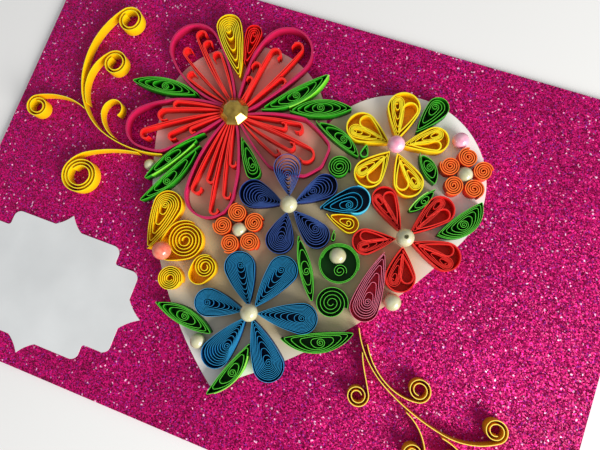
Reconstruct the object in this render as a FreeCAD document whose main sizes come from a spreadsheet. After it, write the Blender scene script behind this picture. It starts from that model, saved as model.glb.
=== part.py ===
"""Quilled paper art: a heart of rolled paper flowers on a glitter sheet.

The sheet lies flat on its back. Millimetres, +Z up, +X along the long side.
The origin is the middle of the sheet's underside. Every paper strip stands on
edge, so a quilled piece is the section of its strip raised by the strip width.
"""
import FreeCAD, Part
import Sketcher
import math
import os

Vector = FreeCAD.Vector
UP = Vector(0, 0, 1)
FULL_TURN = 2 * math.pi
QUARTER_TURN = math.pi / 2
ANGLE_SLACK = 0.2
SHORTEST_TURN = 0.01

doc = FreeCAD.newDocument("QuilledPaperArt")
sizes = doc.addObject("Spreadsheet::Sheet", "Dimensions")
next_row = 1

# Shared sizes
COMMON = {
    # Backing sheet and the two cards glued on it
    "sheet_length": 297,
    "sheet_width": 207,
    "sheet_thickness": 2,
    "card_thickness": 0.4,
    # Heart card: two round lobes that meet at the notch, and a rounded tip
    "heart_notch_x": 3.1,
    "heart_notch_y": 51.9,
    "left_lobe_bearing": 197.5,
    "right_lobe_bearing": -20.5,
    "lobe_radius": 41,
    "heart_tip_x": -5.6,
    "heart_tip_y": -77,
    "heart_tip_radius": 1,
    "heart_left_fullness": 0.11,
    "heart_right_fullness": 0.07,
    # Bracket-edged label card
    "label_x": -97,
    "label_y": -63,
    "label_half_length": 50,
    "label_half_width": 34,
    "label_body_half_length": 41.5,
    "label_body_half_width": 27.5,
    "label_step_length": 13,
    "label_step_width": 8,
    "label_corner_radius": 3.5,
    "label_notch_radius": 1.5,
    "label_point_width": 14,
    "label_point_sag": 0.4,
    # Paper strips
    "strip_width": 5,
    "paper": 0.4,
    "fold_radius": 0.5,
    "core_radius": 1.6,
    "core_pitch": 1,
    "core_hole": 0.7,
    "tip_step": 2.4,
    "leaf_step": 5,
    "teardrop_turns": 3,
    "roll_fullness": 0.03,
    "least_bulge": 0.2,
    "glue_gap": 0.1,
    # Widths past which a leaf has room for one, two or three rolled turns
    "one_turn_leaf": 4.2,
    "two_turn_leaf": 5.3,
    "three_turn_leaf": 6.9,
    # Tight coils of the two small orange flowers
    "orange_coil_diameter": 8.4,
    "orange_coil_pitch": 1.15,
    "orange_coil_hole": 1.8,
    # Big flower
    "gem_x": -39.8,
    "gem_y": 42.9,
    "gem_diameter": 14.4,
    "gem_table_diameter": 8.4,
    "gem_girdle": 1,
    "gem_height": 4.4,
    "gem_sides": 8,
    "gem_reach": -1.4,
    "rim_thickness": 0.8,
    "curl_turn": 290,
    "curl_bow": 0.015,
    # Navy petal that leans on a big petal's rim
    "leaning_lift": 2.2,
    "leaning_tilt": 20,
    # Pearls
    "pearl_flat": 50,
    "bead_hole": 1.4,
    # Scrolls at the ends of the tendrils
    "scroll_pitch": 1.5,
    "scroll_hole": 1.6,
}

# Teardrop rolls: tip x, tip y, heading, length, width, then where the eye lies
ROLL_WORDS = ("x", "y", "heading", "length", "width", "eye_along", "eye_across")
TEARDROPS = {
    "yellow_teardrop": (-44, 60.2, 122, 33.3, 12, 25.5, 0.3),
    "red_teardrop": (-43.6, 67.2, 96.4, 20.6, 7.8, 15.6, -0.3),
    "teal_teardrop": (13.9, 12.9, 32.5, 22.8, 12.4, 13, -1.5),
    "small_yellow_teardrop": (17.6, 11.5, -6, 15.4, 8, 10.6, 0),
    "pink_teardrop": (47.6, 3.6, -92, 32, 12.6, 23, 0.4),
    "yellow_big_teardrop": (-54.6, -31, 86.4, 28.8, 13.6, 21.5, 1.0),
    "leaf_behind_blue": (-31.8, 32.6, -52, 21, 6.8, 14.6, 0.4),
    "leaf_by_yellow": (43.2, 60.6, 66.5, 20.2, 9.8, 14.5, 1.0),
}
LEANING = {"navy_leaning_petal": (-1.6, 14.6, 112, 18.8, 12, 9.4, 0.1)}
OPEN_LOOPS = {"leaf_middle_wide": (24.4, 47.8, -90, 6.4, 3.8)}

# Leaf rolls: first tip, second tip, how far each side bulges, where the eye lies
LEAF_WORDS = ("x", "y", "end_x", "end_y", "left", "right", "eye")
LEAVES = {
    "leaf_top_left": (-60, 45.6, -93.3, 42.6, 2.6, 4.2, 0.5),
    "leaf_left_upper": (-49.4, 28.6, -68.6, -0.6, 1.4, 3, 0.6),
    "leaf_left_lower": (-49.2, 22.2, -66.4, -11.2, 4.4, 1, 0.6),
    "leaf_right_upper": (-28.2, 48.4, -4.1, 74, 1.4, 5.4, 0.5),
    "leaf_right_lower": (-15.2, 52, 12, 62, 4.6, 3.2, 0.5),
    "leaf_middle": (-1.6, 51.2, 22.2, 41.3, 4.2, 1.4, 0.6),
    "leaf_folded_upper": (48.3, 51.8, 58.6, 40.2, 3.6, 2.2, 0.5),
    "leaf_folded_lower": (59.8, 37.6, 51.9, 24.6, 2.4, 1.2, 0.5),
    "leaf_right_edge": (66.4, 18.4, 80.6, 38.6, 1.2, 7.6, 0.5),
    "leaf_narrow": (9.2, -2.2, 24.4, -27.4, 2.6, 2.4, 0.55),
    "leaf_lower_right": (17, -47.2, 46, -34.4, 1, 7, 0.55),
    "leaf_bottom": (5.4, -54.2, -4.8, -80.4, 5.2, 1, 0.5),
    "leaf_lower_left": (-41.4, -51.8, -13, -56, 4.2, 2.8, 0.52),
    "leaf_sliver": (23.6, 5.6, 24.2, 0.8, 0.8, 0.8, 0.5),
}

# Petals that are a rolled teardrop, round a pearl: centre, gap from it to the tips
FLOWER_WORDS = ("x", "y", "tip_gap")
FLOWERS = {
    "navy": (0.4, 9.3, 3.2),
    "blue": (0.6, -41.4, 3.2),
    "yellow": (36.6, 50.9, 3.4),
    "red": (53.4, 12.2, 3.6),
}
PETAL_WORDS = ("heading", "length", "width", "eye_along", "eye_across")
PETALS = {
    "navy": (
        (180, 21, 13, 10, 1.0),
        (49, 21, 11, 9.5, 0.6),
        (-28, 21, 12, 12.6, 1.5),
        (-86, 19.2, 12.6, 12, 0.3),
    ),
    "blue": (
        (124.5, 24.6, 13.8, 18.2, -0.5),
        (72, 26.8, 13.2, 20, 0.5),
        (13.5, 26.6, 13.4, 19.8, 0),
        (-50, 28, 13.6, 19.7, 0.4),
        (249.5, 26.6, 12.8, 14.5, 1.6),
        (187, 22.6, 12.6, 16.8, 0),
    ),
    "yellow": (
        (96, 23, 14.8, 18.2, 3.3),
        (167, 21.4, 14.2, 16.6, 3.1),
        (28.5, 21, 12, 17, 1.8),
        (245, 20.4, 13.4, 15.8, -2.8),
        (-52, 21, 13.2, 16.4, 2.6),
    ),
    "red": (
        (134, 21.8, 11.4, 17.4, 1.6),
        (57.5, 23.4, 12.6, 19.2, 1.8),
        (204, 19.2, 11.6, 15, 2.2),
        (-4.5, 22.4, 13, 16.4, -2.6),
        (-77, 20.2, 13.2, 13.6, -2.8),
    ),
}

# Open loop inside each yellow and red petal: turn from the petal's heading, length, width
LOOP_WORDS = ("loop_turn", "loop_length", "loop_width")
LOOPS = {
    "yellow": ((-11, 16.4, 7.4), (-11, 14.8, 6.4), (-9, 11.6, 5.8), (9, 11.2, 6.4), (-11, 14.8, 5.6)),
    "red": ((-7, 11.6, 6.2), (-9, 14, 6.6), (-10, 13.2, 4), (11, 15.6, 5.4), (11, 14, 5)),
}

# Big petals: bearings from the gem of the two ends of each rim
RIM_END_WORDS = ("from", "to")
RIM_ENDS = {
    "top": (25.5, 95),
    "upper_left": (108, 160),
    "left": (170, 228),
    "bottom": (244, 300),
    "right": (318, 368),
}
# Rounds that each rim goes about, one after another
ROUND_WORDS = ("x", "y", "radius")
RIM_ROUNDS = {
    "top": ((-26.8, 79, 12.4), (-30, 72, 11.4)),
    "upper_left": ((-70.6, 67.8, 12),),
    "left": ((-77.3, 23.2, 10.4), (-71.4, 24, 11)),
    "bottom": ((-36.8, 2.3, 11.2),),
    "right": ((-13.6, 28, 4.6), (0, 28.4, 4.2), (3.6, 33, 4.6), (4, 39.6, 4.6), (-7.6, 45.6, 4.8)),
}
# How far each stretch of a rim bulges, as a share of its length
RIM_BOWS = {
    "top": (0.04, 0.02, 0.02),
    "upper_left": (0.055, 0.13),
    "left": (0.11, 0.02, 0.015),
    "bottom": (0.07, 0.06),
    "right": (0.03, 0.02, 0.02, 0.02, 0.03, 0.05),
}

# Curled strips inside the big petals: centre and radius of the curl, its sense
CURL_WORDS = ("x", "y", "radius", "sense")
CURLS = {
    "top": (
        (-23.8, 63.8, 1.8, -1),
        (-22.6, 82.4, 2.5, 1),
        (-31.6, 76.4, 2.4, -1),
        (-38.2, 67.4, 2, 1),
        (-38.8, 60.2, 1.3, 1),
    ),
    "upper_left": (
        (-58.2, 66.6, 1.9, 1),
        (-64.6, 70.8, 1.9, -1),
        (-69.5, 74.4, 2.1, -1),
        (-72.6, 64.4, 2, -1),
        (-66.4, 53.6, 1.7, -1),
    ),
    "left": (
        (-67.4, 37.8, 1.6, 1),
        (-71.7, 31.1, 2.6, 1),
        (-76.7, 19.6, 2.2, 1),
        (-63.8, 22.6, 1.7, 1),
        (-55.4, 28.4, 1.2, 1),
    ),
    "bottom": (
        (-43.3, 2.8, 2, 1),
        (-38.6, 9, 1.4, 1),
        (-31.8, -4.2, 1.6, 1),
        (-28.6, 4.8, 1.5, 1),
        (-31.4, 19.6, 1.3, 1),
    ),
    "right": (
        (-14.2, 31, 1.3, 1),
        (-9, 36, 1.7, 1),
        (-0.6, 34.4, 3.3, -1),
        (-15.8, 44, 1.4, 1),
        (-8.6, 45.2, 1.9, -1),
    ),
}

# Round loose coils: centre, diameter, pitch of the turns, diameter of the hole
COIL_WORDS = ("x", "y", "diameter", "pitch", "hole")
COILS = {
    "green_small_coil": (16, 33.8, 10.2, 1.3, 3.4),
    "green_ring": (30.3, -7.9, 18, 0.7, 16.2),
    "green_ring_core": (31.9, -10.8, 5.6, 1, 1.6),
    "green_disc": (33.2, -25.2, 14, 1.5, 2.6),
    "yellow_small_scroll": (-39.2, -40, 11, 1.3, 2.4),
}

# Yellow scrolls with a wide outer turn: the inner coil and the outlying round
SCROLL_WORDS = ("x", "y", "radius", "out_x", "out_y", "out_radius", "pitch", "hole")
SCROLLS = {
    "yellow_big_scroll": (-39.6, -21.8, 9.2, -45, -27.8, 5.2, 2.6, 3),
    "yellow_middle_scroll": (-26.2, -30, 5.7, -27.6, -33.6, 4.6, 2, 2.6),
}

# Orange flowers: middle of the ring of coils, its radius, bearing of the first
RING_WORDS = ("x", "y", "ring_radius", "first_bearing")
RINGS = {
    "orange_right": (70, 48.9, 7.9, 26.6),
    "orange_left": (-17.8, -8.5, 7.9, 42),
}
RING_COILS = 5

# Tendrils: start, heading, radius and sense of the end scroll
TENDRIL_WORDS = ("x", "y", "heading", "scroll_radius", "scroll_turns", "sense")
TENDRILS = {
    "left_stem": (-65.4, 12.5, 195.4, 6.2, 2, -1),
    "left_upper_branch": (-111, 24.4, 131, 5.8, 2, -1),
    "left_curl_branch": (-91.6, 12.9, 163, 4.4, 0.8, -1),
    "left_lower_branch": (-77, 9.6, 186.3, 8.4, 3, 1),
    "left_far_branch": (-111.6, 21.8, 157, 5.2, 2, 1),
    "right_stem": (47.6, -31.2, -65.3, 4.6, 2, 1),
    "right_upper_branch": (53.2, -36.4, -61.9, 4.7, 2, 1),
    "right_inner_branch": (52.3, -40.4, -70.1, 4.4, 2, -1),
    "right_lower_branch": (77.2, -57, -22.6, 4.4, 2, -1),
    "right_outer_branch": (94, -61.4, -7.9, 4.4, 2, -1),
}
# Bends of each stem before its scroll: length of the arc, turn in degrees
STEM_BENDS = {
    "left_stem": ((29.7, -31), (27.9, -46.5), (24.6, -31.3), (24, -33.6)),
    "left_upper_branch": ((16.4, -43.7), (14.5, -41.6)),
    "left_curl_branch": ((13.6, -47), (7.7, -62.7)),
    "left_lower_branch": ((25.2, 22.9), (11.3, 40)),
    "left_far_branch": ((12.3, 25.9), (14.2, 24)),
    "right_stem": ((26.6, 36.6), (30, 19.2), (23.7, 44.6)),
    "right_upper_branch": ((20.1, 37.5), (13, 33.2)),
    "right_inner_branch": ((8, 10.3), (9.2, -2.2)),
    "right_lower_branch": ((18.4, -48.4),),
    "right_outer_branch": ((9.9, -23.2),),
}
BEND_WORDS = ("length", "turn")

# Pearls: centre, diameter
PEARL_WORDS = ("x", "y", "diameter")
FLOWER_PEARLS = {
    "navy": 7.8,
    "blue": 7.8,
    "yellow": 7.8,
    "red": 8,
    "orange_right": 7.2,
    "orange_left": 6.9,
}
CARD_PEARLS = {
    "pearl_in_ring": (28.5, -4.7, 7.6),
    "pearl_by_pink": (57.6, -15.8, 7.6),
    "pearl_lower_left": (-17.5, -61.5, 6.8),
    "pearl_by_tendril": (-70.1, 6.3, 5.4),
    "pink_pearl_right": (63.6, 63.6, 7.4),
}
CORAL_PEARL = {"coral_pearl": (-46.4, -29.4, 8.4)}
PEARL_COLOURS = {
    "cream_pearls": (
        "navy",
        "blue",
        "orange_right",
        "orange_left",
        "pearl_in_ring",
        "pearl_by_pink",
        "pearl_lower_left",
        "pearl_by_tendril",
    ),
    "pink_pearls": ("yellow", "pink_pearl_right"),
    "coral_pearl_on_scroll": ("coral_pearl",),
}


def set_size(alias, value):
    """Write one driving size into the next row of the sheet."""
    global next_row
    cell = "A%d" % next_row
    sizes.set(cell, str(value))
    sizes.setAlias(cell, alias)
    next_row += 1


def set_row(name, words, values):
    for word, value in zip(words, values):
        set_size(name + "_" + word, value)


def set_table(table, words):
    for name, values in table.items():
        set_row(name, words, values)


def size(alias):
    return float(getattr(sizes, alias))


def row_of(name, words):
    return [size(name + "_" + word) for word in words]


def write_sizes():
    for alias, value in COMMON.items():
        set_size(alias, value)
    set_table(TEARDROPS, ROLL_WORDS)
    set_table(LEANING, ROLL_WORDS)
    set_table(OPEN_LOOPS, ROLL_WORDS[:5])
    set_table(LEAVES, LEAF_WORDS)
    set_table(FLOWERS, FLOWER_WORDS)
    set_table(RIM_ENDS, RIM_END_WORDS)
    set_table(COILS, COIL_WORDS)
    set_table(SCROLLS, SCROLL_WORDS)
    set_table(RINGS, RING_WORDS)
    set_table(TENDRILS, TENDRIL_WORDS)
    set_table(CARD_PEARLS, PEARL_WORDS)
    set_table(CORAL_PEARL, PEARL_WORDS)
    for flower, petals in PETALS.items():
        for number, petal in enumerate(petals, 1):
            set_row("%s_petal_%d" % (flower, number), PETAL_WORDS, petal)
    for flower, loops in LOOPS.items():
        for number, loop in enumerate(loops, 1):
            set_row("%s_petal_%d" % (flower, number), LOOP_WORDS, loop)
    for petal, rounds in RIM_ROUNDS.items():
        for number, circle in enumerate(rounds, 1):
            set_row("%s_round_%d" % (petal, number), ROUND_WORDS, circle)
    for petal, bows in RIM_BOWS.items():
        for number, bow in enumerate(bows, 1):
            set_size("%s_bow_%d" % (petal, number), bow)
    for petal, curls in CURLS.items():
        for number, curl in enumerate(curls, 1):
            set_row("%s_curl_%d" % (petal, number), CURL_WORDS, curl)
    for stem, bends in STEM_BENDS.items():
        for number, bend in enumerate(bends, 1):
            set_row("%s_bend_%d" % (stem, number), BEND_WORDS, bend)
    for flower, diameter in FLOWER_PEARLS.items():
        set_size(flower + "_pearl_diameter", diameter)


# Chains of arcs. An arc is centre x, centre y, radius, start angle and end
# angle in radians. It runs anticlockwise where the end is the larger angle.

def point_at(arc, angle, outwards=0.0):
    reach = arc[2] + outwards
    return Vector(arc[0] + reach * math.cos(angle), arc[1] + reach * math.sin(angle), 0)


def side_arc(first, second, fullness):
    """Arc round the outside of two circles, bulging by a share of its length."""
    across = math.hypot(second[0] - first[0], second[1] - first[1])
    straight = math.sqrt(across ** 2 - (second[2] - first[2]) ** 2)
    radius = straight * (0.25 + fullness ** 2) / (2 * fullness) + max(first[2], second[2])
    reach_first = radius - first[2]
    reach_second = radius - second[2]
    along = (reach_first ** 2 - reach_second ** 2 + across ** 2) / (2 * across)
    off = math.sqrt(reach_first ** 2 - along ** 2)
    unit_x = (second[0] - first[0]) / across
    unit_y = (second[1] - first[1]) / across
    centre_x = first[0] + along * unit_x - off * unit_y
    centre_y = first[1] + along * unit_y + off * unit_x
    start = math.atan2(first[1] - centre_y, first[0] - centre_x)
    end = math.atan2(second[1] - centre_y, second[0] - centre_x)
    if end < start:
        end += FULL_TURN
    return [centre_x, centre_y, radius, start, end]


def belt(circles, fullness, start, last_turn):
    """Anticlockwise chain of arcs round the circles, one after another."""
    arcs = []
    angle = start
    for index in range(len(circles) - 1):
        here = circles[index]
        link = side_arc(here, circles[index + 1], fullness[index % len(fullness)])
        leave = link[3]
        while leave < angle - ANGLE_SLACK:
            leave += FULL_TURN
        if leave > angle + SHORTEST_TURN and here[2] > 0:
            arcs.append([here[0], here[1], here[2], angle, leave])
        arcs.append(link)
        angle = link[4]
    last = circles[-1]
    if last_turn > 0:
        arcs.append([last[0], last[1], last[2], angle, angle + last_turn])
    return arcs


def wind_in(arcs, pitch, hole):
    """Go on from the last arc by half turns that shrink down to the hole."""
    centre_x, centre_y, radius, start, angle = arcs[-1]
    sense = 1 if angle > start else -1
    while radius - pitch / 2 >= hole:
        centre_x += pitch / 2 * math.cos(angle)
        centre_y += pitch / 2 * math.sin(angle)
        radius -= pitch / 2
        arcs.append([centre_x, centre_y, radius, angle, angle + sense * math.pi])
        angle += sense * math.pi
    return arcs


def flip(arcs):
    """The same chain mirrored across the X axis."""
    return [[x, -y, radius, -start, -end] for x, y, radius, start, end in arcs]


def turned(arcs, x, y, heading):
    """The chain turned by a heading in degrees and moved to a point."""
    angle = math.radians(heading)
    cosine = math.cos(angle)
    sine = math.sin(angle)
    moved = []
    for cx, cy, radius, start, end in arcs:
        new_x = x + cosine * cx - sine * cy
        new_y = y + sine * cx + cosine * cy
        moved.append([new_x, new_y, radius, start + angle, end + angle])
    return moved


def arc_edge(arc, outwards):
    middle = (arc[3] + arc[4]) / 2
    points = [point_at(arc, angle, outwards) for angle in (arc[3], middle, arc[4])]
    return Part.Arc(*points).toShape()


def strip_face(arcs, thickness):
    """Section of one strip: both walls of the chain, closed at its ends."""
    left = []
    right = []
    for arc in arcs:
        to_left = -thickness / 2 if arc[4] > arc[3] else thickness / 2
        left.append(arc_edge(arc, to_left))
        right.append(arc_edge(arc, -to_left))
    start_cap = Part.makeLine(left[0].Vertexes[0].Point, right[0].Vertexes[0].Point)
    end_cap = Part.makeLine(left[-1].Vertexes[-1].Point, right[-1].Vertexes[-1].Point)
    ordered = [start_cap] + right + [end_cap] + list(reversed(left))
    wire = Part.Wire(Part.__sortEdges__(ordered))
    return Part.Face(wire)


# Rolled forms, each in its own place with its first tip at the origin

def shrunk(circle, eye, share):
    """A circle drawn towards the eye, down to the core at a share of nothing."""
    core = size("core_radius")
    return (
        eye[0] + share * (circle[0] - eye[0]),
        eye[1] + share * (circle[1] - eye[1]),
        core + share * (circle[2] - core),
    )


def roll(first, second, eye, turns, inner_share, fullness):
    """Strip wound round two ends and inwards about the eye to a round core."""
    circles = [first, second]
    half_turns = 2 * turns - 1
    for half in range(2, half_turns):
        share = inner_share * (half_turns - half) / (half_turns - 2)
        circles.append(shrunk(first if half % 2 == 0 else second, eye, share))
    circles.append((eye[0], eye[1], size("core_radius")))
    arcs = belt(circles, fullness, math.pi, math.pi)
    return wind_in(arcs, size("core_pitch"), size("core_hole"))


def teardrop_ends(length, width):
    """Circles at the folded tip and the round end of a teardrop turn."""
    half_paper = size("paper") / 2
    fold = size("fold_radius")
    round_end = width / 2 - half_paper
    return (fold + half_paper, 0, fold), (length - half_paper - round_end, 0, round_end)


def teardrop_arcs(length, width, eye_along, eye_across):
    tip, far = teardrop_ends(length, width)
    eye = (eye_along, abs(eye_across))
    inner_share = 1 - size("tip_step") / eye_along
    turns = int(size("teardrop_turns"))
    arcs = roll(tip, far, eye, turns, inner_share, (size("roll_fullness"),))
    return arcs if eye_across >= 0 else flip(arcs)


def leaf_arcs(length, left, right, eye_share, turns):
    half_paper = size("paper") / 2
    fold = size("fold_radius")
    near = (fold + half_paper, 0, fold)
    far = (length - fold - half_paper, 0, fold)
    eye = (length * eye_share, (left - right) / 2)
    inner_share = 1 - size("leaf_step") / eye[0]
    fullness = [max(bulge, size("least_bulge")) / length for bulge in (right, left)]
    return roll(near, far, eye, turns, inner_share, fullness)


def loop_arcs(length, width):
    """One open teardrop turn, closed again just inside its tip."""
    tip, far = teardrop_ends(length, width)
    inside_tip = (tip[0] + size("tip_step"), 0, tip[2])
    return belt([tip, far, inside_tip], (size("roll_fullness"),), math.pi, QUARTER_TURN)


def hooked_petal_arcs(length, width, eye_along, eye_across):
    """Outer teardrop turn whose inner end runs to a small coil at one side."""
    tip, far = teardrop_ends(length, width)
    inside_tip = (tip[0] + size("tip_step"), 0, tip[2])
    coil = (eye_along, -abs(eye_across), size("core_radius"))
    arcs = belt([tip, far, inside_tip, coil], (size("roll_fullness"),), math.pi, math.pi)
    arcs = wind_in(arcs, size("core_pitch"), size("core_hole"))
    return flip(arcs) if eye_across >= 0 else arcs


def coil_arcs(diameter, pitch, hole):
    arcs = [[0, 0, (diameter - size("paper")) / 2, 0, math.pi]]
    return wind_in(arcs, pitch, hole / 2)


def scroll_arcs(x, y, radius, out_x, out_y, out_radius, pitch, hole):
    """Loose coil whose outermost turn swings out round a second circle."""
    circles = [(x, y, radius), (out_x, out_y, out_radius), (x, y, radius - pitch / 2)]
    arcs = belt(circles, (size("roll_fullness"),), QUARTER_TURN, QUARTER_TURN)
    return wind_in(arcs, pitch, hole / 2)


def stem_arcs(x, y, heading, bends, scroll_radius, turns, sense):
    """Gently bent strip that ends in a small scroll."""
    arcs = []
    angle = math.radians(heading)
    for length, turn in bends:
        turn = math.radians(turn)
        side = 1 if turn > 0 else -1
        radius = length / abs(turn)
        centre_x = x - side * radius * math.sin(angle)
        centre_y = y + side * radius * math.cos(angle)
        start = angle - side * QUARTER_TURN
        arcs.append([centre_x, centre_y, radius, start, start + turn])
        angle += turn
        end = point_at(arcs[-1], arcs[-1][4])
        x, y = end.x, end.y
    centre_x = x - sense * scroll_radius * math.sin(angle)
    centre_y = y + sense * scroll_radius * math.cos(angle)
    start = angle - sense * QUARTER_TURN
    arcs.append([centre_x, centre_y, scroll_radius, start, start + sense * math.pi])
    smallest = scroll_radius - (turns - 0.5) * size("scroll_pitch")
    return wind_in(arcs, size("scroll_pitch"), max(smallest, size("scroll_hole") / 2))


def beside_gem(bearing):
    """Start of a strip of the big flower, in the frame of the gem."""
    reach = size("gem_diameter") / 2 + size("gem_reach")
    return reach * math.cos(math.radians(bearing)), reach * math.sin(math.radians(bearing)), 0


def from_gem(x, y, radius):
    return x - size("gem_x"), y - size("gem_y"), radius


def rim_arcs(petal):
    """Rim of a big petal: out from the gem, round its far end and back."""
    first, last = row_of(petal, RIM_END_WORDS)
    circles = [beside_gem(first)]
    for number in range(1, len(RIM_ROUNDS[petal]) + 1):
        circles.append(from_gem(*row_of("%s_round_%d" % (petal, number), ROUND_WORDS)))
    circles.append(beside_gem(last))
    bows = [size("%s_bow_%d" % (petal, number)) for number in range(1, len(circles))]
    return belt(circles, bows, -FULL_TURN, 0)


def curl_arcs(petal, number):
    """Strip from beside the gem to its curled end, in the frame of the gem."""
    first, last = row_of(petal, RIM_END_WORDS)
    x, y, radius, sense = row_of("%s_curl_%d" % (petal, number), CURL_WORDS)
    bearing = first + (last - first) * number / (len(CURLS[petal]) + 1)
    start = beside_gem(bearing)
    end = from_gem(x, y, radius)
    if sense < 0:
        start = (start[0], -start[1], 0)
        end = (end[0], -end[1], radius)
    chain = belt([start, end], [size("curl_bow")], -FULL_TURN, math.radians(size("curl_turn")))
    return chain if sense > 0 else flip(chain)


# Making the pieces

def place(thing, x="0", y="0", z="0"):
    """Bind a piece's place to the sheet. Each argument is an expression."""
    thing.setExpression("Placement.Base.x", x)
    thing.setExpression("Placement.Base.y", y)
    thing.setExpression("Placement.Base.z", z)


ON_SHEET = "Dimensions.sheet_thickness"
ON_CARD = "Dimensions.sheet_thickness + Dimensions.card_thickness"
ON_STRIPS = ON_CARD + " + Dimensions.strip_width + Dimensions.glue_gap"
sub_parts = []


def keep(thing, label):
    thing.Label = label
    sub_parts.append(thing)
    return thing


def raised(name, face, height):
    """A flat section and the solid that rises from it by a bound height."""
    section = doc.addObject("Part::Feature", name + "_section")
    section.Shape = face
    solid = doc.addObject("Part::Extrusion", name)
    solid.Base = section
    solid.DirMode = "Custom"
    solid.Dir = UP
    solid.Solid = True
    solid.setExpression("LengthFwd", height)
    return solid


def quilled(name, chains, z=ON_CARD, thickness=None):
    """One node of strips on edge, each chain of arcs a solid of its own."""
    faces = [strip_face(chain, thickness or size("paper")) for chain in chains]
    solid = raised(name, Part.Compound(faces), "Dimensions.strip_width")
    place(solid, z=z)
    return keep(solid, name)


def make_sheet():
    body = doc.addObject("PartDesign::Body", "backing_sheet")
    sketch = body.newObject("Sketcher::SketchObject", "sheet_outline")
    plane = [item for item in body.Origin.OriginFeatures if item.Role == "XY_Plane"][0]
    sketch.AttachmentSupport = [(plane, "")]
    sketch.MapMode = "FlatFace"
    half_length = size("sheet_length") / 2
    half_width = size("sheet_width") / 2
    corners = [(-1, -1), (1, -1), (1, 1), (-1, 1)]
    points = [Vector(sx * half_length, sy * half_width, 0) for sx, sy in corners]
    for index in range(4):
        sketch.addGeometry(Part.LineSegment(points[index], points[(index + 1) % 4]), False)
    for index in range(4):
        sketch.addConstraint(Sketcher.Constraint("Coincident", index, 2, (index + 1) % 4, 1))
    for index in (0, 2):
        sketch.addConstraint(Sketcher.Constraint("Horizontal", index))
    for index in (1, 3):
        sketch.addConstraint(Sketcher.Constraint("Vertical", index))
    sketch.addConstraint(Sketcher.Constraint("Symmetric", 0, 1, 1, 2, -1, 1))
    length = sketch.addConstraint(Sketcher.Constraint("DistanceX", 0, 1, 0, 2, 2 * half_length))
    width = sketch.addConstraint(Sketcher.Constraint("DistanceY", 1, 1, 1, 2, 2 * half_width))
    sketch.setExpression("Constraints[%d]" % length, "Dimensions.sheet_length")
    sketch.setExpression("Constraints[%d]" % width, "Dimensions.sheet_width")
    pad = body.newObject("PartDesign::Pad", "sheet_pad")
    pad.Profile = sketch
    pad.setExpression("Length", "Dimensions.sheet_thickness")
    sketch.Visibility = False
    keep(body, "backing_sheet")


def heart_lobe(bearing):
    """Circle of a lobe that passes through the notch, its centre at a bearing."""
    radius = size("lobe_radius")
    x = size("heart_notch_x") + radius * math.cos(bearing)
    y = size("heart_notch_y") + radius * math.sin(bearing)
    return x, y, radius


def heart_face():
    left_bearing = math.radians(size("left_lobe_bearing"))
    right_bearing = math.radians(size("right_lobe_bearing"))
    left = heart_lobe(left_bearing)
    right = heart_lobe(right_bearing)
    tip = (size("heart_tip_x"), size("heart_tip_y"), size("heart_tip_radius"))
    left_side = side_arc(left, tip, size("heart_left_fullness"))
    right_side = side_arc(tip, right, size("heart_right_fullness"))
    into_left = left_bearing - math.pi
    out_of_left = left_side[3] % FULL_TURN
    round_tip = [left_side[4] % FULL_TURN, right_side[3] % FULL_TURN]
    out_of_right = right_bearing + math.pi
    into_right = right_side[4] % FULL_TURN
    while into_right > out_of_right:
        into_right -= FULL_TURN
    outline = [
        [*left, into_left, out_of_left],
        left_side,
        [*tip, *round_tip],
        right_side,
        [*right, into_right, out_of_right],
    ]
    edges = [arc_edge(arc, 0) for arc in outline]
    return Part.Face(Part.Wire(Part.__sortEdges__(edges)))


def label_quarter():
    """Outline of a quarter of the label, from its side point up to its top point."""
    half_length = size("label_half_length")
    half_width = size("label_half_width")
    body_length = size("label_body_half_length")
    body_width = size("label_body_half_width")
    step_x = body_length - size("label_step_length")
    step_y = body_width - size("label_step_width")
    corner = size("label_corner_radius")
    notch = size("label_notch_radius")
    point = size("label_point_width") / 2
    sag = size("label_point_sag")
    bow = 1 - math.sqrt(0.5)
    corner_bow = bow * corner
    notch_bow = bow * notch
    side_point = (half_length, 0)
    side_middle = ((half_length + body_length) / 2 - sag, point / 2 - sag)
    side_foot = (body_length, point)
    corner_start = (body_length, step_y - corner)
    corner_middle = (body_length - corner_bow, step_y - corner_bow)
    corner_end = (body_length - corner, step_y)
    notch_start = (step_x + notch, step_y)
    notch_middle = (step_x + notch_bow, step_y + notch_bow)
    notch_end = (step_x, step_y + notch)
    shoulder_start = (step_x, body_width - corner)
    shoulder_middle = (step_x - corner_bow, body_width - corner_bow)
    shoulder_end = (step_x - corner, body_width)
    top_foot = (point, body_width)
    top_middle = (point / 2 - sag, (half_width + body_width) / 2 - sag)
    top_point = (0, half_width)
    return [
        (side_point, side_middle, side_foot),
        (side_foot, corner_start),
        (corner_start, corner_middle, corner_end),
        (corner_end, notch_start),
        (notch_start, notch_middle, notch_end),
        (notch_end, shoulder_start),
        (shoulder_start, shoulder_middle, shoulder_end),
        (shoulder_end, top_foot),
        (top_foot, top_middle, top_point),
    ]


def label_face():
    """The quarter mirrored both ways. Two points are a line and three an arc."""
    edges = []
    for sign_x, sign_y in ((1, 1), (-1, 1), (-1, -1), (1, -1)):
        for points in label_quarter():
            vectors = [Vector(sign_x * x, sign_y * y, 0) for x, y in points]
            if len(vectors) == 3:
                edges.append(Part.Arc(*vectors).toShape())
            else:
                edges.append(Part.makeLine(*vectors))
    return Part.Face(Part.Wire(Part.__sortEdges__(edges)))


def make_cards():
    heart = raised("heart_card", heart_face(), "Dimensions.card_thickness")
    place(heart, z=ON_SHEET)
    keep(heart, "heart_card")
    label = raised("label_card", label_face(), "Dimensions.card_thickness")
    place(label, "Dimensions.label_x", "Dimensions.label_y", ON_SHEET)
    keep(label, "label_card")


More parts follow.
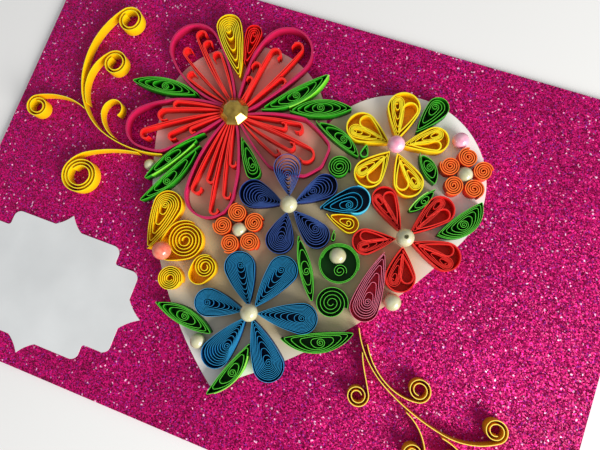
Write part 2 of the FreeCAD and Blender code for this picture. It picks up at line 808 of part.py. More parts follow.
def make_big_petals():
    for petal in RIM_ENDS:
        rim = quilled("big_petal_%s_rim" % petal, [rim_arcs(petal)], ON_CARD, size("rim_thickness"))
        place(rim, "Dimensions.gem_x", "Dimensions.gem_y", ON_CARD)
        chains = [curl_arcs(petal, number) for number in range(1, len(CURLS[petal]) + 1)]
        curls = quilled("big_petal_%s_curls" % petal, chains)
        place(curls, "Dimensions.gem_x", "Dimensions.gem_y", ON_CARD)


def make_over_petal():
    """Navy petal that leans on the rim of the big petal beside it."""
    form = row_of("navy_leaning_petal", ROLL_WORDS)[3:]
    section = strip_face(teardrop_arcs(*form), size("paper"))
    leaning = raised("navy_leaning_petal", section, "Dimensions.strip_width")
    rise = ON_CARD + " + Dimensions.leaning_lift"
    spot = "vector(Dimensions.navy_leaning_petal_x; Dimensions.navy_leaning_petal_y; %s)" % rise
    turn = "rotation(Dimensions.navy_leaning_petal_heading; -Dimensions.leaning_tilt; 0)"
    leaning.setExpression("Placement", "placement(%s; %s)" % (spot, turn))
    keep(leaning, "navy_leaning_petal")


def make_petals():
    for flower in FLOWERS:
        centre_x, centre_y, tip_gap = row_of(flower, FLOWER_WORDS)
        chains = []
        for number in range(1, len(PETALS[flower]) + 1):
            name = "%s_petal_%d" % (flower, number)
            heading, length, width, along, across = row_of(name, PETAL_WORDS)
            tip_x = tip_gap * math.cos(math.radians(heading))
            tip_y = tip_gap * math.sin(math.radians(heading))
            if flower in LOOPS:
                loop_turn, loop_length, loop_width = row_of(name, LOOP_WORDS)
                outer = hooked_petal_arcs(length, width, along, across)
                loop = loop_arcs(loop_length, loop_width)
                inner = turned(loop, 2 * size("tip_step"), 0, loop_turn)
                chains.append(turned(inner, tip_x, tip_y, heading))
            else:
                outer = teardrop_arcs(length, width, along, across)
            chains.append(turned(outer, tip_x, tip_y, heading))
        node = quilled(flower + "_flower_petals", chains)
        place(node, "Dimensions.%s_x" % flower, "Dimensions.%s_y" % flower, ON_CARD)


def make_teardrops():
    for name in TEARDROPS:
        heading, *form = row_of(name, ROLL_WORDS)[2:]
        node = quilled(name, [turned(teardrop_arcs(*form), 0, 0, heading)])
        place(node, "Dimensions.%s_x" % name, "Dimensions.%s_y" % name, ON_CARD)


def make_open_loops():
    for name in OPEN_LOOPS:
        heading, *form = row_of(name, ROLL_WORDS[:5])[2:]
        node = quilled(name, [turned(loop_arcs(*form), 0, 0, heading)])
        place(node, "Dimensions.%s_x" % name, "Dimensions.%s_y" % name, ON_CARD)


def make_leaves():
    steps = [size(word) for word in ("one_turn_leaf", "two_turn_leaf", "three_turn_leaf")]
    for name in LEAVES:
        x, y, end_x, end_y, left, right, eye = row_of(name, LEAF_WORDS)
        length = math.hypot(end_x - x, end_y - y)
        heading = math.degrees(math.atan2(end_y - y, end_x - x))
        turns = sum(left + right > step for step in steps)
        if turns:
            chain = leaf_arcs(length, left, right, eye, turns)
        else:
            chain = loop_arcs(length, left + right)
        node = quilled(name, [turned(chain, 0, 0, heading)])
        place(node, "Dimensions.%s_x" % name, "Dimensions.%s_y" % name, ON_CARD)


def make_coils():
    chains = {}
    for name in COILS:
        x, y, diameter, pitch, hole = row_of(name, COIL_WORDS)
        chains[name] = turned(coil_arcs(diameter, pitch, hole), x, y, 0)
    quilled("green_ring", [chains.pop("green_ring"), chains.pop("green_ring_core")])
    for name, chain in chains.items():
        quilled(name, [chain])
    for name in SCROLLS:
        quilled(name, [scroll_arcs(*row_of(name, SCROLL_WORDS))])


def make_orange_flowers():
    form = [size("orange_coil_" + word) for word in COIL_WORDS[2:]]
    for flower in RINGS:
        ring_radius, first_bearing = row_of(flower, RING_WORDS)[2:]
        chains = []
        for index in range(RING_COILS):
            bearing = math.radians(first_bearing) + index * FULL_TURN / RING_COILS
            across = ring_radius * math.cos(bearing)
            up = ring_radius * math.sin(bearing)
            chains.append(turned(coil_arcs(*form), across, up, 0))
        node = quilled(flower + "_flower_coils", chains)
        place(node, "Dimensions.%s_x" % flower, "Dimensions.%s_y" % flower, ON_CARD)


def tendril_chain(name):
    x, y, heading, radius, turns, sense = row_of(name, TENDRIL_WORDS)
    bends = []
    for number in range(1, len(STEM_BENDS[name]) + 1):
        bends.append(row_of("%s_bend_%d" % (name, number), BEND_WORDS))
    return stem_arcs(x, y, heading, bends, radius, turns, int(sense))


def make_tendrils():
    for side, seat in (("left", ON_CARD), ("right", ON_SHEET)):
        stem = side + "_stem"
        branches = [name for name in TENDRILS if name.startswith(side) and name != stem]
        quilled("tendril_" + stem, [tendril_chain(stem)], seat)
        chains = [tendril_chain(name) for name in branches]
        quilled("tendril_%s_branches" % side, chains, ON_SHEET)


def make_gem():
    """Faceted half gem: a low girdle and eight flats up to the table."""
    levels = (
        ("gem_back", "gem_diameter", "0"),
        ("gem_girdle_edge", "gem_diameter", "Dimensions.gem_girdle"),
        ("gem_table_edge", "gem_table_diameter", "Dimensions.gem_height"),
    )
    outlines = []
    for name, diameter, height in levels:
        outline = doc.addObject("Part::RegularPolygon", name)
        outline.setExpression("Polygon", "Dimensions.gem_sides")
        outline.setExpression("Circumradius", "Dimensions.%s / 2" % diameter)
        outline.setExpression("Placement.Base.z", height)
        outlines.append(outline)
    gem = doc.addObject("Part::Loft", "centre_gem")
    gem.Sections = outlines
    gem.Solid = True
    gem.Ruled = True
    place(gem, "Dimensions.gem_x", "Dimensions.gem_y", ON_STRIPS)
    keep(gem, "centre_gem")


def pearl(name, diameter, x, y, z):
    """Round pearl with a flat where it is glued."""
    ball = doc.addObject("Part::Sphere", name)
    ball.setExpression("Radius", "%s / 2" % diameter)
    ball.setExpression("Angle1", "-Dimensions.pearl_flat")
    place(ball, x, y, z)
    return ball


def make_pearls():
    flat_drop = " / 2 * sin(Dimensions.pearl_flat * 1 deg)"
    balls = {}
    for flower in FLOWER_PEARLS:
        alias = "Dimensions.%s_pearl_diameter" % flower
        spot = ("Dimensions.%s_x" % flower, "Dimensions.%s_y" % flower)
        seat = ON_CARD if flower in RINGS else ON_STRIPS
        balls[flower] = pearl(flower + "_pearl", alias, *spot, seat + " + " + alias + flat_drop)
    for name in list(CARD_PEARLS) + list(CORAL_PEARL):
        alias = "Dimensions.%s_diameter" % name
        seat = ON_STRIPS if name in CORAL_PEARL else ON_CARD
        spot = ("Dimensions.%s_x" % name, "Dimensions.%s_y" % name)
        balls[name] = pearl(name, alias, *spot, seat + " + " + alias + flat_drop)
    bore = doc.addObject("Part::Cylinder", "bead_bore")
    bore.setExpression("Radius", "Dimensions.bead_hole / 2")
    bore.setExpression("Height", "Dimensions.red_pearl_diameter * 2")
    place(bore, "Dimensions.red_x", "Dimensions.red_y", ON_CARD)
    bead = doc.addObject("Part::Cut", "red_flower_bead")
    bead.Base = balls["red"]
    bead.Tool = bore
    keep(bead, "red_flower_bead")
    for label, names in PEARL_COLOURS.items():
        group = doc.addObject("Part::Compound", label)
        group.Links = [balls[name] for name in names]
        keep(group, label)


def check_and_write():
    doc.recompute()
    for thing in doc.Objects:
        if "Invalid" in thing.State or "Error" in thing.State:
            raise RuntimeError("%s failed: %s" % (thing.Name, thing.State))
    os.makedirs("parts", exist_ok=True)
    for thing in sub_parts:
        shape = thing.Shape
        if shape.isNull() or not shape.isValid() or not shape.Solids:
            raise RuntimeError("%s has no sound solid" % thing.Label)
        shape.exportStep("parts/%s.step" % thing.Label)
    print("%d sub-parts" % len(sub_parts))


write_sizes()
doc.recompute()
make_sheet()
make_cards()
make_big_petals()
make_gem()
make_petals()
make_over_petal()
make_teardrops()
make_open_loops()
make_leaves()
make_coils()
make_orange_flowers()
make_tendrils()
make_pearls()
check_and_write()
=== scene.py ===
"""Quilled paper art: a heart of rolled paper flowers on a glitter sheet.

Every strip is a chain of arcs in millimetres. Its section is spun from arc to
arc, raised on edge by the strip's width and scaled to metres.
"""
import bpy
import bmesh
import math
from mathutils import Matrix, Vector, noise


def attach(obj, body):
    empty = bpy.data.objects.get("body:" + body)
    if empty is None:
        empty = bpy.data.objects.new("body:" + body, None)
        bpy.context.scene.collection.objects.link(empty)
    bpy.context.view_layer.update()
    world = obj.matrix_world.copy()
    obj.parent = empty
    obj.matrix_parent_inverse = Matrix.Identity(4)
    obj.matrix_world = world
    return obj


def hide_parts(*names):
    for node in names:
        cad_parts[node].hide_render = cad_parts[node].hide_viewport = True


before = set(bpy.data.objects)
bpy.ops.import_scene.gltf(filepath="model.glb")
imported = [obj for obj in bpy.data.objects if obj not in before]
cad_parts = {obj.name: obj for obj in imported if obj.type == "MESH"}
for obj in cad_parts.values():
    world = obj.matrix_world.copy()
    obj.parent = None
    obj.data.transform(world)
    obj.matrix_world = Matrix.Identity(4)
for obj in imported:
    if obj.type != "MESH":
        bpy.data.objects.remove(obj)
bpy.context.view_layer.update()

MM = 0.001
FULL_TURN = 2 * math.pi
QUARTER_TURN = math.pi / 2

# Heights above the table, strip sizes
SHEET_TOP = 2.0
CARD_TOP = 2.4
STRIP_WIDTH = 5.0
ON_STRIPS = CARD_TOP + STRIP_WIDTH + 0.1
PAPER = 0.2
THICKNESS = {"gold": 0.3, "lemon": 0.3, "blue": 0.17, "pink": 0.17}
RIM_STRIP = 0.26
RIM_DEPTHS = (-0.3, 0.02, 0.34)
CURL_STRIP = 0.4
COIL_STRIP = 0.5
EDGE_STRIP = 0.3
BASE = 0.2
FOLD = 0.4
CORE_PITCH = 0.8
CORE_HOLE = 0.4
ARC_SLACK = 0.01

# Teardrop rolls: tip x, tip y, heading, length, width, eye along, eye across, turns
TEARDROPS = {
    "yellow_teardrop": (-44, 60.2, 122, 33.3, 12, 25.5, 0.3, 6),
    "red_teardrop": (-43.6, 67.2, 96.4, 20.6, 7.8, 15.6, -0.3, 4),
    "teal_teardrop": (13.9, 12.9, 32.5, 22.8, 12.4, 13, -1.5, 4),
    "small_yellow_teardrop": (17.6, 11.5, -6, 15.4, 8, 10.6, 0, 3),
    "pink_teardrop": (47.6, 3.6, -92, 32, 12.6, 23, 0.4, 7),
    "yellow_big_teardrop": (-54.6, -31, 86.4, 28.8, 13.6, 21.5, 1.0, 6),
    "leaf_behind_blue": (-31.8, 32.6, -52, 21, 6.8, 14.6, 0.4, 4),
    "leaf_by_yellow": (43.2, 60.6, 66.5, 20.2, 9.8, 14.5, 1.0, 4),
}
TEARDROP_PAPERS = {
    "yellow_teardrop": "lemon",
    "red_teardrop": "red",
    "teal_teardrop": "teal",
    "small_yellow_teardrop": "gold",
    "pink_teardrop": "pink",
    "yellow_big_teardrop": "gold",
    "leaf_behind_blue": "green",
    "leaf_by_yellow": "green",
}
LEANING = (-1.6, 14.6, 112, 18.8, 12, 9.4, 0.1, 6)
LEANING_LIFT = 2.2
LEANING_TILT = 20

# Leaf rolls: first tip, second tip, bulge of each side, eye's place, turns
LEAVES = {
    "leaf_top_left": (-60, 45.6, -93.3, 42.6, 2.6, 4.2, 0.5, 5),
    "leaf_left_upper": (-49.4, 28.6, -68.6, -0.6, 1.4, 3, 0.6, 3),
    "leaf_left_lower": (-49.2, 22.2, -66.4, -11.2, 4.4, 1, 0.6, 4),
    "leaf_right_upper": (-28.2, 48.4, -4.1, 74, 1.4, 5.4, 0.5, 5),
    "leaf_right_lower": (-15.2, 52, 12, 62, 4.6, 3.2, 0.5, 5),
    "leaf_middle": (-1.6, 51.2, 22.2, 41.3, 4.2, 1.4, 0.6, 4),
    "leaf_folded_upper": (48.3, 51.8, 58.6, 40.2, 3.6, 2.2, 0.5, 3),
    "leaf_folded_lower": (59.8, 37.6, 51.9, 24.6, 2.4, 1.2, 0.5, 3),
    "leaf_right_edge": (66.4, 18.4, 80.6, 38.6, 1.2, 7.6, 0.5, 6),
    "leaf_narrow": (9.2, -2.2, 24.4, -27.4, 2.6, 2.4, 0.55, 4),
    "leaf_lower_right": (17, -47.2, 46, -34.4, 1, 7, 0.55, 5),
    "leaf_bottom": (5.4, -54.2, -4.8, -80.4, 5.2, 1, 0.5, 4),
    "leaf_lower_left": (-41.4, -51.8, -13, -56, 4.2, 2.8, 0.52, 5),
    "leaf_sliver": (23.6, 5.6, 24.2, 0.8, 0.8, 0.8, 0.5, 1),
}

# Bright strip along a leaf: its side, the share of the side where it starts and ends
LIME_SIDES = {
    "leaf_right_upper": (0, 0.35, 1.02),
    "leaf_left_upper": (1, 0.1, 0.95),
    "leaf_folded_lower": (0, 0.2, 1.0),
    "leaf_bottom": (1, 0.1, 0.9),
}

# Flowers round a pearl: centre, gap from it to the tips of the petals
FLOWERS = {
    "navy": (0.4, 9.3, 3.2),
    "blue": (0.6, -41.4, 3.2),
    "yellow": (36.6, 50.9, 3.4),
    "red": (53.4, 12.2, 3.6),
}
# Petals: heading, length, width, eye along, eye across
PETALS = {
    "navy": (
        (180, 21, 13, 10, 1.0),
        (49, 21, 11, 9.5, 0.6),
        (-28, 21, 12, 12.6, 1.5),
        (-86, 19.2, 12.6, 12, 0.3),
    ),
    "blue": (
        (124.5, 24.6, 13.8, 18.2, -0.5),
        (72, 26.8, 13.2, 20, 0.5),
        (13.5, 26.6, 13.4, 19.8, 0),
        (-50, 28, 13.6, 19.7, 0.4),
        (249.5, 26.6, 12.8, 14.5, 1.6),
        (187, 22.6, 12.6, 16.8, 0),
    ),
    "yellow": (
        (96, 23, 14.8, 18.2, 3.3),
        (167, 21.4, 14.2, 16.6, 3.1),
        (28.5, 21, 12, 17, 1.8),
        (245, 20.4, 13.4, 15.8, -2.8),
        (-52, 21, 13.2, 16.4, 2.6),
    ),
    "red": (
        (134, 21.8, 11.4, 17.4, 1.6),
        (57.5, 23.4, 12.6, 19.2, 1.8),
        (204, 19.2, 11.6, 15, 2.2),
        (-4.5, 22.4, 13, 16.4, -2.6),
        (-77, 20.2, 13.2, 13.6, -2.8),
    ),
}
FAN_TURNS = {"navy": 7, "blue": 9}
PETAL_PAPERS = {"navy": "navy", "blue": "blue", "yellow": "gold", "red": "red"}
# Petals with an open loop beside their roll: share of the width that the loop takes
LOOP_SHARE = {
    "yellow": (0.54, 0.5, 0.46, 0.54, 0.5),
    "red": (0.56, 0.52, 0.5, 0.5, 0.5),
}

# Big flower: bearings of each rim's ends, the rounds it goes about, its bows
GEM = (-39.8, 42.9)
GEM_REACH = 5.8
GEM_RADIUS = 7.2
GEM_TURN = math.radians(-7.5)
# Girdle, long facets and table of the gem: rise, share of the width below
GEM_STEPS = ((0.9, 1.0), (2.7, 0.64), (0.8, 0.72))
RIM_ENDS = {
    "top": (25.5, 95),
    "upper_left": (108, 160),
    "left": (170, 228),
    "bottom": (244, 300),
    "right": (318, 368),
}
RIM_ROUNDS = {
    "top": ((-26.8, 79, 12.4), (-30, 72, 11.4)),
    "upper_left": ((-70.6, 67.8, 12),),
    "left": ((-77.3, 23.2, 10.4), (-71.4, 24, 11)),
    "bottom": ((-36.8, 2.3, 11.2),),
    "right": ((-13.6, 28, 4.6), (0, 28.4, 4.2), (3.6, 33, 4.6), (4, 39.6, 4.6), (-7.6, 45.6, 4.8)),
}
RIM_BOWS = {
    "top": (0.04, 0.02, 0.02),
    "upper_left": (0.055, 0.13),
    "left": (0.11, 0.02, 0.015),
    "bottom": (0.07, 0.06),
    "right": (0.03, 0.02, 0.02, 0.02, 0.03, 0.05),
}
# Curled strips inside the big petals: centre and radius of the curl, its sense
CURLS = {
    "top": (
        (-23.8, 63.8, 1.8, -1),
        (-22.6, 82.4, 2.5, 1),
        (-31.6, 76.4, 2.4, -1),
        (-38.2, 67.4, 2, 1),
        (-38.8, 60.2, 1.3, 1),
    ),
    "upper_left": (
        (-58.2, 66.6, 1.9, 1),
        (-64.6, 70.8, 1.9, -1),
        (-69.5, 74.4, 2.1, -1),
        (-72.6, 64.4, 2, -1),
        (-66.4, 53.6, 1.7, -1),
    ),
    "left": (
        (-67.4, 37.8, 1.6, 1),
        (-71.7, 31.1, 2.6, 1),
        (-76.7, 19.6, 2.2, 1),
        (-63.8, 22.6, 1.7, 1),
        (-55.4, 28.4, 1.2, 1),
    ),
    "bottom": (
        (-43.3, 2.8, 2, 1),
        (-38.6, 9, 1.4, 1),
        (-31.8, -4.2, 1.6, 1),
        (-28.6, 4.8, 1.5, 1),
        (-31.4, 19.6, 1.3, 1),
    ),
    "right": (
        (-14.2, 31, 1.3, 1),
        (-9, 36, 1.7, 1),
        (-0.6, 34.4, 3.3, -1),
        (-15.8, 44, 1.4, 1),
        (-8.6, 45.2, 1.9, -1),
    ),
}

# Round loose coils: centre, diameter, pitch of the turns, diameter of the hole
COILS = {
    "green_small_coil": (16, 33.8, 10.2, 1.1, 1.6),
    "green_ring": (30.3, -7.9, 18, 0.5, 15.4),
    "green_disc": (33.2, -25.2, 14, 1.6, 2),
    "yellow_small_scroll": (-39.2, -40, 11, 0.9, 2.4),
}
RING_CORE = (31.9, -10.8, 5.6, 1.2, 1)
# Yellow scrolls: inner coil, the outlying round, pitch, diameter of the hole
SCROLLS = {
    "yellow_big_scroll": (-39.6, -21.8, 9.2, -45, -27.8, 5.2, 1.5, 3),
    "yellow_middle_scroll": (-26.2, -30, 5.7, -27.6, -33.6, 4.6, 1.2, 2.6),
}
# Orange flowers: middle, radius of the ring of coils, bearing of the first
RINGS = {
    "orange_right": (70, 48.9, 7.9, 26.6),
    "orange_left": (-17.8, -8.5, 7.9, 42),
}
RING_COILS = 5
ORANGE_COIL = (8.4, 0.98, 1.3)

# Tendrils: start, heading, radius, turns and sense of the end scroll, then bends
TENDRILS = {
    "left_stem": (-65.4, 12.5, 195.4, 6.2, 2, -1),
    "left_upper_branch": (-111, 24.4, 131, 5.8, 2, -1),
    "left_curl_branch": (-91.6, 12.9, 163, 4.4, 0.8, -1),
    "left_lower_branch": (-77, 9.6, 186.3, 8.4, 3, 1),
    "left_far_branch": (-111.6, 21.8, 157, 5.2, 2, 1),
    "right_stem": (47.6, -31.2, -65.3, 4.6, 2, 1),
    "right_upper_branch": (53.2, -36.4, -61.9, 4.7, 2, 1),
    "right_inner_branch": (52.3, -40.4, -70.1, 4.4, 2, -1),
    "right_lower_branch": (77.2, -57, -22.6, 4.4, 2, -1),
    "right_outer_branch": (94, -61.4, -7.9, 4.4, 2, -1),
}
STEM_BENDS = {
    "left_stem": ((29.7, -31), (27.9, -46.5), (24.6, -31.3), (24, -33.6)),
    "left_upper_branch": ((16.4, -43.7), (14.5, -41.6)),
    "left_curl_branch": ((13.6, -47), (7.7, -62.7)),
    "left_lower_branch": ((25.2, 22.9), (11.3, 40)),
    "left_far_branch": ((12.3, 25.9), (14.2, 24)),
    "right_stem": ((26.6, 36.6), (30, 19.2), (23.7, 44.6)),
    "right_upper_branch": ((20.1, 37.5), (13, 33.2)),
    "right_inner_branch": ((8, 10.3), (9.2, -2.2)),
    "right_lower_branch": ((18.4, -48.4),),
    "right_outer_branch": ((9.9, -23.2),),
}
SCROLL_PITCH = 1.5
SCROLL_HOLE = 0.8
TENDRIL_PAPER = 0.36

# Pearls: x, y, diameter, seat
PEARLS = {
    "cream_pearls": (
        (0.4, 9.3, 7.8, ON_STRIPS),
        (0.6, -41.4, 7.8, ON_STRIPS),
        (70, 48.9, 7.2, CARD_TOP),
        (-17.8, -8.5, 6.9, CARD_TOP),
        (28.5, -4.7, 7.6, CARD_TOP),
        (57.6, -15.8, 7.6, CARD_TOP),
        (-17.5, -61.5, 6.8, CARD_TOP),
        (-70.1, 6.3, 5.4, CARD_TOP),
    ),
    "pink_pearls": ((36.6, 50.9, 7.8, ON_STRIPS), (63.6, 63.6, 7.4, CARD_TOP)),
    "coral_pearl_on_scroll": ((-46.4, -29.4, 8.4, ON_STRIPS),),
}
BEAD = (53.4, 12.2, 8, ON_STRIPS)
PEARL_FLAT = math.radians(50)


# Chains of arcs: centre x, centre y, radius, start angle, end angle

def side_arc(first, second, fullness):
    """Arc round the outside of two circles, bulging by a share of its length."""
    across = math.hypot(second[0] - first[0], second[1] - first[1])
    straight = math.sqrt(across ** 2 - (second[2] - first[2]) ** 2)
    radius = straight * (0.25 + fullness ** 2) / (2 * fullness) + max(first[2], second[2])
    reach_first = radius - first[2]
    reach_second = radius - second[2]
    along = (reach_first ** 2 - reach_second ** 2 + across ** 2) / (2 * across)
    off = math.sqrt(reach_first ** 2 - along ** 2)
    unit_x = (second[0] - first[0]) / across
    unit_y = (second[1] - first[1]) / across
    centre_x = first[0] + along * unit_x - off * unit_y
    centre_y = first[1] + along * unit_y + off * unit_x
    start = math.atan2(first[1] - centre_y, first[0] - centre_x)
    end = math.atan2(second[1] - centre_y, second[0] - centre_x)
    if end < start:
        end += FULL_TURN
    return [centre_x, centre_y, radius, start, end]


def belt(circles, fullness, start, last_turn):
    """Anticlockwise chain of arcs round the circles, one after another."""
    arcs = []
    angle = start
    for index, here in enumerate(circles[:-1]):
        link = side_arc(here, circles[index + 1], fullness[index % len(fullness)])
        leave = link[3]
        while leave < angle - 0.2:
            leave += FULL_TURN
        if leave > angle + 0.01 and here[2] > 0:
            arcs.append([here[0], here[1], here[2], angle, leave])
        arcs.append(link)
        angle = link[4]
    last = circles[-1]
    if last_turn > 0:
        arcs.append([last[0], last[1], last[2], angle, angle + last_turn])
    return arcs


def wind_in(arcs, pitch, hole):
    """Go on from the last arc by half turns that shrink down to the hole."""
    centre_x, centre_y, radius, start, angle = arcs[-1]
    sense = 1 if angle > start else -1
    while radius - pitch / 2 >= hole:
        centre_x += pitch / 2 * math.cos(angle)
        centre_y += pitch / 2 * math.sin(angle)
        radius -= pitch / 2
        arcs.append([centre_x, centre_y, radius, angle, angle + sense * math.pi])
        angle += sense * math.pi
    return arcs


def flip(arcs):
    """The same chain mirrored across the X axis."""
    return [[x, -y, radius, -start, -end] for x, y, radius, start, end in arcs]


def turned(arcs, x, y, heading):
    """The chain turned by a heading in degrees and moved to a point."""
    angle = math.radians(heading)
    cosine = math.cos(angle)
    sine = math.sin(angle)
    moved = []
    for cx, cy, radius, start, end in arcs:
        new_x = x + cosine * cx - sine * cy
        new_y = y + sine * cx + cosine * cy
        moved.append([new_x, new_y, radius, start + angle, end + angle])
    return moved


def between(circle, eye, core, share):
    return (
        eye[0] + share * (circle[0] - eye[0]),
        eye[1] + share * (circle[1] - eye[1]),
        core + share * (circle[2] - core),
    )


def roll(first, second, eye, turns, core, bunching, fullness):
    """Strip wound round two ends and inwards about the eye to a round core.

    Bunching keeps the turns close together at each end that is a fold."""
    circles = [first, second]
    halves = 2 * turns - 1
    for half in range(2, halves):
        end = first if half % 2 == 0 else second
        share = 1 - half / halves
        if end[2] <= FOLD:
            reach = math.hypot(end[0] - eye[0], end[1] - eye[1])
            share = 1 - max((half / halves) ** bunching, 0.22 * half / reach)
        circles.append(between(end, eye, core, share))
    circles.append((eye[0], eye[1], core))
    arcs = belt(circles, fullness, math.pi, math.pi)
    return wind_in(arcs, CORE_PITCH, CORE_HOLE)


def teardrop_roll(length, width, eye_along, eye_across, turns):
    round_end = width / 2 - PAPER / 2
    tip = (FOLD + PAPER / 2, 0, FOLD)
    far = (length - PAPER / 2 - round_end, 0, round_end)
    core = min(0.3 * round_end, 1.7)
    room = round_end - core - turns * 0.34
    along = min(eye_along, far[0] + max(room, 0.2))
    eye = (along, abs(eye_across))
    arcs = roll(tip, far, eye, turns, core, 1.6, (0.045, 0.045))
    return arcs if eye_across >= 0 else flip(arcs)


def leaf_roll(length, left, right, eye_share, turns):
    near = (FOLD + PAPER / 2, 0, FOLD)
    far = (length - FOLD - PAPER / 2, 0, FOLD)
    eye = (length * eye_share, (left - right) / 2)
    core = min(0.3 * (left + right), 1.7)
    fullness = (max(right, 0.2) / length, max(left, 0.2) / length)
    return roll(near, far, eye, turns, core, 1.5, fullness)


def loop_turns(length, width, turns=1):
    """Open teardrop loop of a few turns that lie close together."""
    circles = []
    for turn in range(turns):
        inset = turn * (PAPER + 0.12)
        round_end = width / 2 - PAPER / 2 - inset
        circles.append((FOLD + PAPER / 2 + 1.6 * inset, 0, FOLD))
        circles.append((length - PAPER / 2 - width / 2 + PAPER / 2, 0, round_end))
    circles.append((circles[-2][0] + 1.2, 0, FOLD))
    return belt(circles, (0.03, 0.03), math.pi, QUARTER_TURN)


def coil(diameter, pitch, hole):
    arcs = [[0, 0, diameter / 2 - PAPER / 2, 0, math.pi]]
    return wind_in(arcs, pitch, hole / 2)


def scroll(x, y, radius, out_x, out_y, out_radius, pitch, hole):
    """Loose coil whose outermost turn swings out round a second circle."""
    circles = [(x, y, radius), (out_x, out_y, out_radius), (x, y, radius - pitch / 2)]
    arcs = belt(circles, (0.03, 0.03), QUARTER_TURN, QUARTER_TURN)
    return wind_in(arcs, pitch, hole / 2)


def stem(x, y, heading, bends, scroll_radius, turns, sense):
    """Gently bent strip that ends in a small scroll."""
    arcs = []
    angle = math.radians(heading)
    for length, turn in bends:
        turn = math.radians(turn)
        side = 1 if turn > 0 else -1
        radius = length / abs(turn)
        centre_x = x - side * radius * math.sin(angle)
        centre_y = y + side * radius * math.cos(angle)
        start = angle - side * QUARTER_TURN
        arcs.append([centre_x, centre_y, radius, start, start + turn])
        angle += turn
        x = centre_x + radius * math.cos(start + turn)
        y = centre_y + radius * math.sin(start + turn)
    centre_x = x - sense * scroll_radius * math.sin(angle)
    centre_y = y + sense * scroll_radius * math.cos(angle)
    start = angle - sense * QUARTER_TURN
    arcs.append([centre_x, centre_y, scroll_radius, start, start + sense * math.pi])
    smallest = scroll_radius - (turns - 0.5) * SCROLL_PITCH
    return wind_in(arcs, SCROLL_PITCH, max(smallest, SCROLL_HOLE))


def beside_gem(bearing):
    angle = math.radians(bearing)
    return GEM[0] + GEM_REACH * math.cos(angle), GEM[1] + GEM_REACH * math.sin(angle), 0


def inset(arcs, depth):
    """The same anticlockwise chain laid a little further inside."""
    return [[x, y, radius - depth, start, end] for x, y, radius, start, end in arcs if radius > depth + 0.1]


def rim(petal):
    first, last = RIM_ENDS[petal]
    circles = [beside_gem(first), *RIM_ROUNDS[petal], beside_gem(last)]
    return belt(circles, RIM_BOWS[petal], -FULL_TURN, 0)


def curl(petal, index):
    """Pair of strips from beside the gem to their hooked ends."""
    first, last = RIM_ENDS[petal]
    x, y, radius, sense = CURLS[petal][index]
    bearing = first + (last - first) * (index + 1) / (len(CURLS[petal]) + 1)
    start = beside_gem(bearing)
    chains = []
    for wider, turn in ((0, 215), (0.5, 130 + 25 * (index % 3))):
        circles = [(start[0], sense * start[1], 0), (x, sense * y, radius + wider)]
        chain = belt(circles, [0.015 + 0.03 * wider], -FULL_TURN, math.radians(turn))
        chains.append(chain if sense > 0 else flip(chain))
    return chains


# Making the pieces

def lay_strip(section, arcs, seat=CARD_TOP, thickness=PAPER):
    """Spin a short edge from arc to arc: the section of one strip."""
    cx, cy, radius, start, _ = arcs[0]
    ends = []
    for side in (-1, 1):
        reach = radius + side * thickness / 2
        ends.append(section.verts.new((cx + reach * math.cos(start), cy + reach * math.sin(start), seat)))
    last = [*ends, section.edges.new(ends)]
    for cx, cy, radius, start, end in arcs:
        finest = math.sqrt(8 * ARC_SLACK / max(radius, 0.3))
        steps = max(1, math.ceil(abs(end - start) / finest))
        made = bmesh.ops.spin(
            section, geom=last, cent=(cx, cy, seat), axis=(0, 0, 1), angle=end - start, steps=steps,
            use_merge=False, use_normal_flip=False, use_duplicate=False,
        )
        last = made["geom_last"]


def lay_base(section, arcs, seat):
    """Thin glued base that fills the outermost turn of a roll."""
    swept = 0
    corner = None
    outline = []
    for cx, cy, radius, start, end in arcs:
        if abs(swept) >= FULL_TURN - 0.05:
            break
        end = start + math.copysign(min(abs(end - start), FULL_TURN - abs(swept)), end - start)
        swept += end - start
        if corner is None:
            corner = section.verts.new((cx + radius * math.cos(start), cy + radius * math.sin(start), seat))
            outline.append(corner)
        steps = max(1, math.ceil(abs(end - start) / 0.2))
        made = bmesh.ops.spin(
            section, geom=[corner], cent=(cx, cy, seat), axis=(0, 0, 1), angle=end - start, steps=steps,
            use_merge=False, use_normal_flip=False, use_duplicate=False,
        )
        corner = made["geom_last"][0]
        outline.append(corner)
    edges = {edge for edge in section.edges if not edge.link_faces}
    edges.add(section.edges.new((outline[-1], outline[0])))
    filled = bmesh.ops.triangle_fill(section, edges=list(edges), use_beauty=True, use_dissolve=False)
    faces = [item for item in filled["geom"] if isinstance(item, bmesh.types.BMFace)]
    made = bmesh.ops.extrude_face_region(section, geom=faces)
    top = [item for item in made["geom"] if isinstance(item, bmesh.types.BMVert)]
    bmesh.ops.translate(section, verts=top, vec=(0, 0, BASE))


def raise_strips(section, height=STRIP_WIDTH, unevenness=0.12):
    """Raise the sections on edge, with tops that are a little uneven."""
    made = bmesh.ops.extrude_face_region(section, geom=section.faces[:])
    top = [item for item in made["geom"] if isinstance(item, bmesh.types.BMVert)]
    for vert in top:
        vert.co.z += height + unevenness * noise.noise(Vector((vert.co.x * 0.5, vert.co.y * 0.5, 0)))
    bmesh.ops.recalc_face_normals(section, faces=section.faces[:])


def finish_piece(name, shape, material, slot, *nodes, sharp=35):
    """Make the shape an object in metres that stands for its nodes."""
    bmesh.ops.scale(shape, vec=(MM, MM, MM), verts=shape.verts[:])
    mesh = bpy.data.meshes.new(name)
    shape.to_mesh(mesh)
    shape.free()
    mesh.shade_smooth()
    mesh.set_sharp_from_angle(angle=math.radians(sharp))
    mesh.materials.append(material)
    piece = bpy.data.objects.new(name, mesh)
    bpy.context.scene.collection.objects.link(piece)
    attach(piece, "root")
    if nodes:
        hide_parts(*nodes)
    return piece


